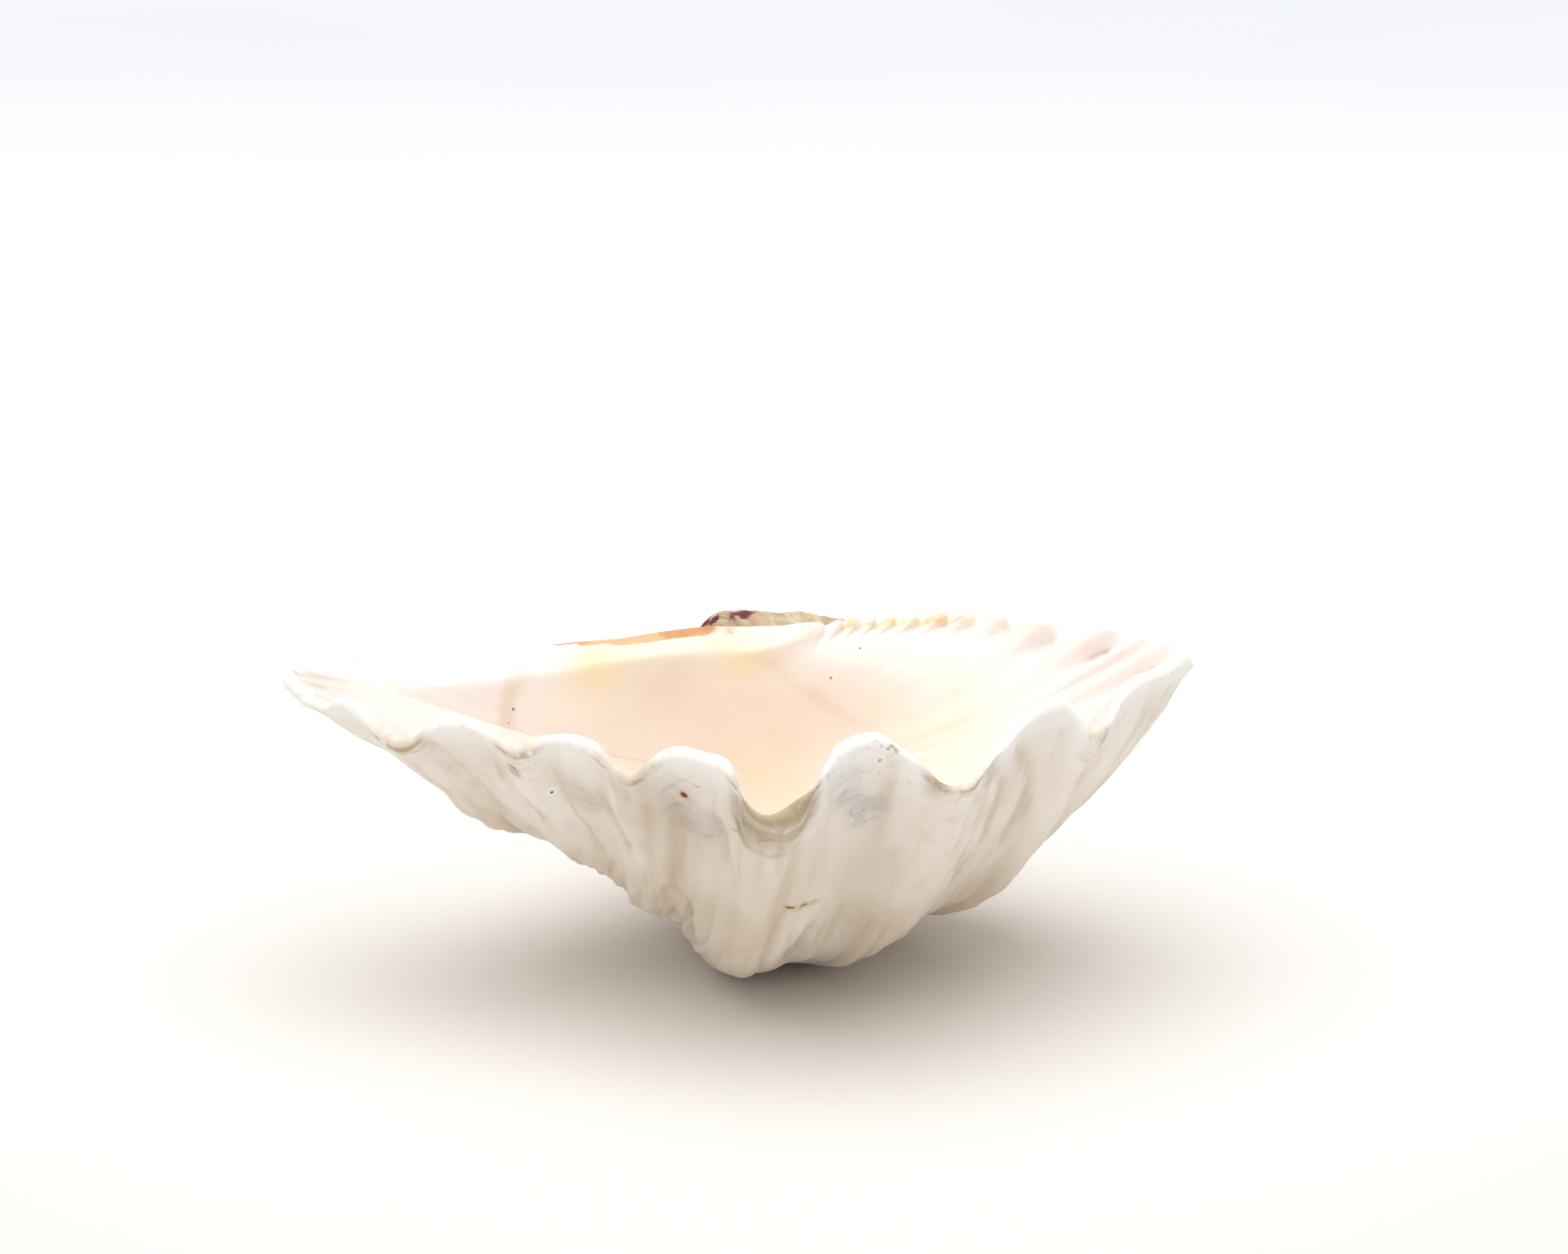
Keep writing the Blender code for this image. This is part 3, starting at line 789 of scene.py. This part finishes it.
# %% A socket that can be used as a number
class Wire:
    """An output socket that takes part in arithmetic."""

    def __init__(self, socket):
        self.socket = socket

    @classmethod
    def node(cls, tree, kind, settings, sockets, output=0):
        """Adds a node, sets it up, and gives back one of its outputs."""
        item = tree.nodes.new(kind)
        for name, value in settings.items():
            setattr(item, name, value)
        plugs = {plug.identifier: plug for plug in item.inputs}
        for name, value in sockets.items():
            if isinstance(value, Wire):
                tree.links.new(value.socket, plugs[name])
            else:
                plugs[name].default_value = value
        return cls(item.outputs[output])

    def math(self, operation, first, second=0.0):
        settings = {"operation": operation}
        tree = self.socket.id_data
        return Wire.node(tree, "ShaderNodeMath", settings, {"Value": first, "Value_001": second})

    def __add__(self, other):
        return self.math("ADD", self, other)

    def __radd__(self, other):
        return self.math("ADD", other, self)

    def __sub__(self, other):
        return self.math("SUBTRACT", self, other)

    def __rsub__(self, other):
        return self.math("SUBTRACT", other, self)

    def __mul__(self, other):
        return self.math("MULTIPLY", self, other)

    def __rmul__(self, other):
        return self.math("MULTIPLY", other, self)

    def __abs__(self):
        return self.math("ABSOLUTE", self)


print("sockets can be added and multiplied")


# %% [markdown]
# A few finishes need the same handful of nodes, so they are named once: a mask from an attribute, a
# noise with its own proportions, a soft threshold, a distance from a place or a line, a mix of two
# colours, and a list of coats, which are colours laid over each other as a painter would.

# %% Named pieces of a material
class Finish:
    """A new material, with the nodes that the finishes here are made of."""

    def __init__(self, name):
        self.material = bpy.data.materials.new(name)
        self.material.use_nodes = True
        self.tree = self.material.node_tree
        self.shader = self.tree.nodes["Principled BSDF"]

    def node(self, kind, settings, sockets, output=0):
        return Wire.node(self.tree, kind, settings, sockets, output)

    def place(self):
        return self.node("ShaderNodeTexCoord", {}, {}, 3)

    def mask(self, name):
        return self.node("ShaderNodeAttribute", {"attribute_name": name}, {}, 2)

    def vector(self, name):
        return self.node("ShaderNodeAttribute", {"attribute_name": name}, {}, 1)

    def vectors(self, operation, first, second=(0.0, 0.0, 0.0), output=0):
        sockets = {"Vector": first, "Vector_001": second}
        return self.node("ShaderNodeVectorMath", {"operation": operation}, sockets, output)

    def noise(self, where, scales, detail=2.0, rough=0.5):
        scaled = self.vectors("MULTIPLY", where, scales)
        sockets = {"Vector": scaled, "Scale": 1.0, "Detail": detail, "Roughness": rough}
        return self.node("ShaderNodeTexNoise", {"noise_dimensions": "3D"}, sockets)

    def step(self, value, low, high):
        sockets = {"Value": value, "From Min": low, "From Max": high}
        return self.node("ShaderNodeMapRange", {"interpolation_type": "SMOOTHSTEP"}, sockets)

    def near(self, where, centre, inner, outer):
        return 1 - self.step(self.vectors("DISTANCE", where, centre, 1), inner, outer)

    def segment(self, where, start, end, inner, outer):
        """1 on a straight line between two places, fading out between two distances from it."""
        leg = [b - a for a, b in zip(start, end)]
        square = sum(value * value for value in leg)
        from_start = self.vectors("SUBTRACT", where, start)
        share = self.vectors("DOT_PRODUCT", from_start, [value / square for value in leg], 1)
        share = self.node("ShaderNodeClamp", {}, {"Value": share})
        foot = self.node("ShaderNodeVectorMath", {"operation": "SCALE"}, {"Vector": leg, "Scale": share})
        return 1 - self.step(self.vectors("DISTANCE", from_start, foot, 1), inner, outer)

    def ragged(self, where, scale, amount):
        """The place, moved a little by a noise, so that what is measured from it gets a ragged edge."""
        texture = {"Vector": where, "Scale": scale, "Detail": 2.0}
        pushed = self.node("ShaderNodeTexNoise", {}, texture, 1)
        half = self.vectors("SUBTRACT", pushed, (0.5, 0.5, 0.5))
        sockets = {"Vector": half, "Vector_001": (amount,) * 3, "Vector_002": where}
        return self.node("ShaderNodeVectorMath", {"operation": "MULTIPLY_ADD"}, sockets)

    def mix(self, first, second, share):
        sockets = {"Factor_Float": share, "A_Color": first, "B_Color": second}
        return self.node("ShaderNodeMix", {"data_type": "RGBA"}, sockets, 2)

    def coats(self, colour, layers):
        """A colour with further colours mixed over it in turn, each by its own share."""
        for over, share in layers:
            colour = self.mix(colour, over, share)
        return colour

    def feed(self, name, value):
        if isinstance(value, Wire):
            self.tree.links.new(value.socket, self.shader.inputs[name])
        else:
            self.shader.inputs[name].default_value = value


print("finish helpers ready")

# %% [markdown]
# ## The paper floor
#
# Matt and almost white, its tones painted light: cooler towards the back, painted shade a little darker
# in front, and a painted lift of light, warmer, close round the shell where its shadow falls. A trace of
# unevenness keeps it from being a flat colour.

# %% Finish the floor
paper = Finish("paper_floor")
where = paper.place()
far = paper.node("ShaderNodeSeparateXYZ", {}, {"Vector": where}, 1)
cloud = paper.noise(where, (1.1, 1.1, 1.1))
side = paper.vectors("LENGTH", where, output=1)
# painted shade: the paper darker in front, away from the shell
in_front = paper.step(side, 0.22, 0.62) * (1 - paper.step(far, -0.35, 0.1))
# painted light: the paper brighter and cooler towards the back
tone = paper.mix((0.73, 0.73, 0.735, 1), (0.80, 0.82, 0.845, 1), paper.step(far, -0.45, 0.4))
tone = paper.coats(tone, [
    # painted light: darker and bluer far behind
    ((0.66, 0.70, 0.765, 1), paper.step(far, 1.0, 3.2)),
    ((0.57, 0.585, 0.605, 1), in_front)])
# painted light: lighter, warmer paper close round the shell, where its shadow falls
tone = paper.mix((0.80, 0.79, 0.775, 1), tone, paper.step(side, 0.10, 0.34))
tone = paper.mix(tone, (0.90, 0.90, 0.895, 1), cloud * 0.25)
paper.feed("Base Color", tone)
paper.feed("Roughness", 0.9)
paper.feed("Specular IOR Level", 0.2)
floor_mesh.materials.append(paper.material)
print("paper nodes", len(paper.tree.nodes))

# %% [markdown]
# ## The shell's finish: the outside
#
# Chalk first: a warm white that is broken by soft streaks along the growth, with a faint green cast in
# places and a browner, darker tone low down that is painted shade, like the darker spots on the front,
# which hold the real grey-brown patches of the two front tongues too. Then dirt in the grooves, darkened
# further as painted shade, grey patches with wavy growth lines on the two front tongues, a bleached edge
# at the lip that is partly a painted highlight, and olive bands in layers under the notches.

# %% Outside colours
shell = Finish("clam_shell")
where = shell.place()
growth = shell.vector("growth")
inside = shell.mask("inside")
deep_of = shell.node("ShaderNodeSeparateXYZ", {}, {"Vector": growth}, 2)

streaks = shell.noise(growth, (75, 75, 10), 3.0)
broad = shell.noise(growth, (38, 38, 12), 2.0)
rings = shell.noise(shell.ragged(growth, 150.0, 0.008), (30, 30, 300), 3.0, 0.6)
grain = shell.noise(where, (260, 260, 260), 4.0, 0.6)
blots = shell.noise(where, (120, 120, 120), 3.0, 0.6)
ribbing = shell.noise(growth, (250, 250, 5), 2.0)
mottle = shell.noise(where, (45, 45, 45), 3.0)

# painted shade: the outside turns browner and darker low down, where less light reaches
low = shell.step(deep_of, 0.028, 0.085)
# dirt in the grooves, and painted shade in them too
groove_dirt_and_shade = shell.mask("groove") * shell.step(streaks, 0.66, 0.40)
chalk = shell.mix((0.83, 0.745, 0.65, 1), (0.92, 0.87, 0.80, 1), shell.step(streaks, 0.32, 0.66))
chalk = shell.coats(chalk, [
    ((0.75, 0.63, 0.51, 1), shell.step(broad, 0.52, 0.78) * 0.5),
    ((0.93, 0.90, 0.85, 1), shell.step(mottle, 0.48, 0.70) * 0.55),
    ((0.79, 0.81, 0.69, 1), shell.step(mottle, 0.44, 0.30) * 0.4),
    # painted shade low down
    ((0.68, 0.565, 0.43, 1), low * (0.4 + 0.6 * shell.step(broad, 0.30, 0.62)) * 0.7),
    ((0.62, 0.50, 0.38, 1), shell.step(ribbing, 0.56, 0.70) * shell.step(mottle, 0.40, 0.60) * 0.25),
    # painted shade on the front, together with the real grey-brown patches of the front tongues
    ((0.64, 0.545, 0.44, 1), shell.mask("stain_and_painted_shade") * (0.40 + 0.60 * shell.step(broad, 0.26, 0.58)) * 0.8),
    # dirt and painted shade in the grooves
    ((0.58, 0.43, 0.28, 1), groove_dirt_and_shade * 0.42),
    ((0.66, 0.59, 0.51, 1), shell.step(rings, 0.52, 0.66) * shell.step(broad, 0.42, 0.62) * 0.2)])
print("chalk done")

# %% Outside patches
wavy = shell.step(rings, 0.44, 0.60)
thin = 1 - shell.step(abs(rings - 0.5), 0.004, 0.024)
blocks = shell.noise(growth, (95, 95, 75), 2.0)
greyed = shell.step(shell.mask("grey"), 0.12, 0.62)
lilac = greyed * (0.40 + 0.60 * wavy) * shell.step(blocks, 0.38, 0.52)
# a bleached lip, partly a painted highlight on the lit lip tops
bleach_and_highlight = shell.mask("tongue") * shell.step(grain, 0.25, 0.45)
bands = shell.step(shell.mask("olive"), 0.12, 0.62) * (0.55 + 0.45 * shell.step(rings, 0.42, 0.56))
bands = bands * (0.60 + 0.40 * shell.step(blots, 0.38, 0.56))
worn = shell.mask("notch") * shell.step(rings + (blots - 0.5) * 0.8, 0.40, 0.62)
edge = shell.mask("notch") * (1 - shell.step(abs(deep_of - 0.0035), 0.0003, 0.0014))
chalk = shell.coats(chalk, [
    ((0.46, 0.45, 0.475, 1), lilac * 0.65),
    ((0.66, 0.56, 0.45, 1), greyed * shell.step(streaks, 0.54, 0.38) * 0.6),
    ((0.46, 0.40, 0.34, 1), thin * greyed * 0.6),
    # bleached lip, partly a painted highlight
    ((0.985, 0.975, 0.955, 1), bleach_and_highlight * 0.92),
    ((0.34, 0.27, 0.155, 1), bands * 0.9),
    ((0.62, 0.50, 0.34, 1), worn * shell.step(mottle, 0.38, 0.56) * 0.6),
    ((0.47, 0.35, 0.21, 1), edge * shell.step(blots, 0.40, 0.56) * 0.8)])
print("patches done")

# %% [markdown]
# The umbo is the oldest part of the shell and keeps the colours of its youth: khaki and cream along the
# growth, and blotches of dark purple and brown on the beak.

# %% Umbo colours
purple_mask = shell.mask("purple")
blotch = shell.step(shell.noise(where, (170, 170, 170), 3.0, 0.6) + purple_mask * 0.55, 0.72, 0.86)
umbo = shell.mix((0.48, 0.36, 0.215, 1), (0.68, 0.575, 0.40, 1), shell.step(streaks, 0.35, 0.62))
umbo = shell.coats(umbo, [
    ((0.77, 0.71, 0.61, 1), shell.step(mottle, 0.52, 0.66) * 0.45),
    ((0.46, 0.37, 0.23, 1), shell.step(rings, 0.48, 0.62) * 0.6),
    ((0.58, 0.29, 0.23, 1), purple_mask * 0.6),
    ((0.17, 0.035, 0.055, 1), blotch * shell.step(purple_mask, 0.05, 0.4))])
chalk = shell.mix(chalk, umbo, shell.step(shell.mask("beak"), 0.2, 0.55))
print("umbo done")

# %% [markdown]
# ## The shell's finish: the inside
#
# Cream porcelain that turns peach towards the bottom of the bowl, in soft cloudy patches, and white
# towards the lip. Gold tints sit on the hinge plate and under the front notches, the ligament left its
# orange and brown along the back of the plate, and the small teeth beside the umbo are honey coloured.
# Brown lines of painted shadow run down the hollow side of the folds at the right end.

# %% Inside colours
clouds = shell.noise(where, (24, 24, 24), 3.0, 0.55)
peachy = shell.mask("peach")
cream = shell.mix((0.90, 0.828, 0.795, 1), (0.94, 0.852, 0.772, 1), peachy)
cream = shell.coats(cream, [
    ((0.86, 0.73, 0.60, 1), shell.step(deep_of, -0.070, -0.110) * 0.25),
    ((0.94, 0.905, 0.88, 1), shell.step(deep_of, -0.016, -0.004)),
    ((0.93, 0.80, 0.685, 1), peachy * shell.step(clouds, 0.46, 0.68) * 0.45),
    ((0.82, 0.70, 0.58, 1), shell.mask("ripe") * shell.step(clouds, 0.34, 0.62) * 0.5),
    ((0.78, 0.64, 0.50, 1), shell.mask("scar") * shell.step(mottle, 0.36, 0.60) * 0.5),
    ((0.94, 0.85, 0.62, 1), shell.mask("plate") * shell.step(streaks, 0.25, 0.55) * 0.5),
    ((0.94, 0.80, 0.47, 1), shell.mask("gold") * (0.30 + 0.70 * shell.step(mottle, 0.35, 0.65))),
    # painted shadow along the folds at the right end
    ((0.58, 0.43, 0.29, 1), shell.mask("painted_fold_shadow") * shell.step(blots, 0.34, 0.60) * 0.75),
    ((0.66, 0.53, 0.40, 1), shell.mask("wing") * shell.step(blots, 0.36, 0.56) * 0.75)])
honey = shell.mix((0.86, 0.57, 0.24, 1), (0.93, 0.75, 0.46, 1), shell.step(grain, 0.35, 0.65))
amber = shell.mix((0.62, 0.29, 0.10, 1), (0.85, 0.51, 0.26, 1), shell.step(mottle, 0.35, 0.62))
amber = shell.mix(amber, (0.40, 0.17, 0.07, 1), shell.step(grain, 0.60, 0.72) * 0.6)
ligament_share = shell.step(shell.mask("ligament") + (grain - 0.5) * 0.5, 0.25, 0.6)
print("inside done")

# %% [markdown]
# ## Small marks
#
# A few marks belong to this shell and no other: a brown spot with an orange rim on a front tongue, a
# dark speck with a bleached ring, a line of pits on the next tongue, the rust in the crack, dark pits
# and a brownish streak inside the left wing that is partly painted shade along a crease, and fine broken
# hairlines near the lip. Each is a distance from its place or line, with a little noise on its edge.

# %% Places of the marks
BROWN_SPOT = (-0.0167, -0.0857, 0.0905)
SMALL_SPOT = (-0.0061, -0.0960, 0.0940)
BLACK_SPECK = (-0.0596, -0.0598, 0.0828)
TONGUE_PITS = [
    (0.0424, -0.1010, 0.1124), (0.0460, -0.1005, 0.1097), (0.0434, -0.0994, 0.1056),
    (0.0430, -0.0972, 0.1012), (0.0426, -0.0952, 0.0973)]
INNER_PITS = [
    (-0.0767, 0.0116, 0.0894), (-0.0785, 0.0104, 0.0852), (0.0404, 0.0515, 0.0998),
    (0.0304, 0.0456, 0.0908)]
HAIRLINES = [
    [(0.0366, -0.1040, 0.1110), (0.0390, -0.1025, 0.1123), (0.0419, -0.1014, 0.1122),
     (0.0443, -0.1009, 0.1108), (0.0467, -0.0997, 0.1107), (0.0491, -0.0995, 0.1082)],
    [(-0.0179, -0.0883, 0.0959), (-0.0159, -0.0904, 0.0973), (-0.0139, -0.0905, 0.0953),
     (-0.0120, -0.0917, 0.0949)],
    [(0.0778, -0.0854, 0.1001), (0.0799, -0.0817, 0.1027)],
    [(0.0726, -0.0614, 0.0631), (0.0707, -0.0607, 0.0597), (0.0668, -0.0603, 0.0549)],
    [(-0.0018, -0.0965, 0.0820), (0.0022, -0.1042, 0.0830), (0.0060, -0.1094, 0.0852),
     (0.0118, -0.1101, 0.0845), (0.0170, -0.1099, 0.0859), (0.0194, -0.1097, 0.0888)]]
LEFT_STREAK = [
    (-0.0723, 0.0169, 0.1030), (-0.0780, 0.0122, 0.0948), (-0.0793, 0.0107, 0.0881),
    (-0.0785, 0.0101, 0.0844)]
BROWN = (0.16, 0.06, 0.03, 1)
SPOTS = [
    ((0.72, 0.42, 0.22, 1), BROWN_SPOT, 0.0010, 0.0030, 0.7),
    (BROWN, BROWN_SPOT, 0.0009, 0.0017, 1.0),
    (BROWN, SMALL_SPOT, 0.0004, 0.0010, 0.8),
    ((0.96, 0.95, 0.93, 1), BLACK_SPECK, 0.0012, 0.0030, 0.8),
    (BROWN, BLACK_SPECK, 0.0004, 0.0008, 1.0)]
SPOTS += [(BROWN, centre, 0.0003, 0.0010, 0.6) for centre in TONGUE_PITS]
SPOTS += [(BROWN, centre, 0.0002, 0.0007, 0.8) for centre in INNER_PITS]
print(len(SPOTS), "spots,", len(HAIRLINES), "hairlines")

# %% Put the colours together and add the marks
honeyed = shell.mask("teeth") * (0.35 + 0.65 * shell.step(blots, 0.40, 0.58))

colour = shell.mix(chalk, cream, inside)
colour = shell.mix(colour, amber, ligament_share)
colour = shell.mix(colour, honey, honeyed * 0.8)
blurry = shell.ragged(where, 700.0, 0.0012)
# painted shade along a crease inside the left wing, laid on as a brownish streak
for start, end in zip(LEFT_STREAK, LEFT_STREAK[1:]):
    stain_and_painted_shade = shell.segment(shell.ragged(where, 90.0, 0.006), start, end, 0.0005, 0.0055) * inside
    colour = shell.mix(colour, (0.76, 0.62, 0.48, 1), stain_and_painted_shade * 0.42)
for hairline in HAIRLINES:
    for start, end in zip(hairline, hairline[1:]):
        fine = shell.segment(shell.ragged(where, 260.0, 0.003), start, end, 0.0001, 0.0009)
        colour = shell.mix(colour, (0.36, 0.26, 0.17, 1), fine * shell.step(blots, 0.36, 0.54) * 0.75)
for start, end in zip(CRACK, CRACK[1:]):
    rust = shell.segment(blurry, start, end, 0.0003, 0.0028)
    colour = shell.mix(colour, (0.66, 0.45, 0.24, 1), rust * 0.75)
    colour = shell.mix(colour, (0.10, 0.06, 0.04, 1), shell.segment(blurry, start, end, 0.0002, 0.0009))
for over, centre, inner, outer, strength in SPOTS:
    colour = shell.mix(colour, over, shell.near(blurry, centre, inner, outer) * strength)
print("marks done")

# %% [markdown]
# ## Surface
#
# The outside is dry and chalky, the inside has the soft gloss of unglazed porcelain. Fine riblets,
# growth lines and grain go on as bump, because they are smaller than the mesh can carry. The bump is
# reckoned in millimetres.

# %% Roughness and bump
fine_ribs = shell.noise(growth, (420, 420, 18), 2.0)
fine_lines = shell.noise(growth, (40, 40, 900), 2.0)
outer_bump = fine_ribs * 0.26 + fine_lines * 0.14 + grain * 0.30
inner_bump = grain * 0.05 + mottle * 0.12
height = outer_bump * (1 - inside) + inner_bump * inside
bump = shell.node("ShaderNodeBump", {}, {"Height": height, "Distance": 0.001, "Strength": 1.0})
shell.feed("Normal", bump)
shell.feed("Base Color", colour)
dry = 0.66 + 0.14 * grain
gloss = 0.34 + 0.12 * clouds
shell.feed("Roughness", dry * (1 - inside) + gloss * inside)
shell.feed("Coat Weight", inside * 0.12)
shell.feed("Coat Roughness", 0.25)
shell.feed("Specular IOR Level", 0.45)
valve_mesh.materials.append(shell.material)
print("shell nodes", len(shell.tree.nodes))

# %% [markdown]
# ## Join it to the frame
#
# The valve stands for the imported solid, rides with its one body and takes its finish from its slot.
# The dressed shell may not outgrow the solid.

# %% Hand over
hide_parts("shell")
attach(valve, "root")
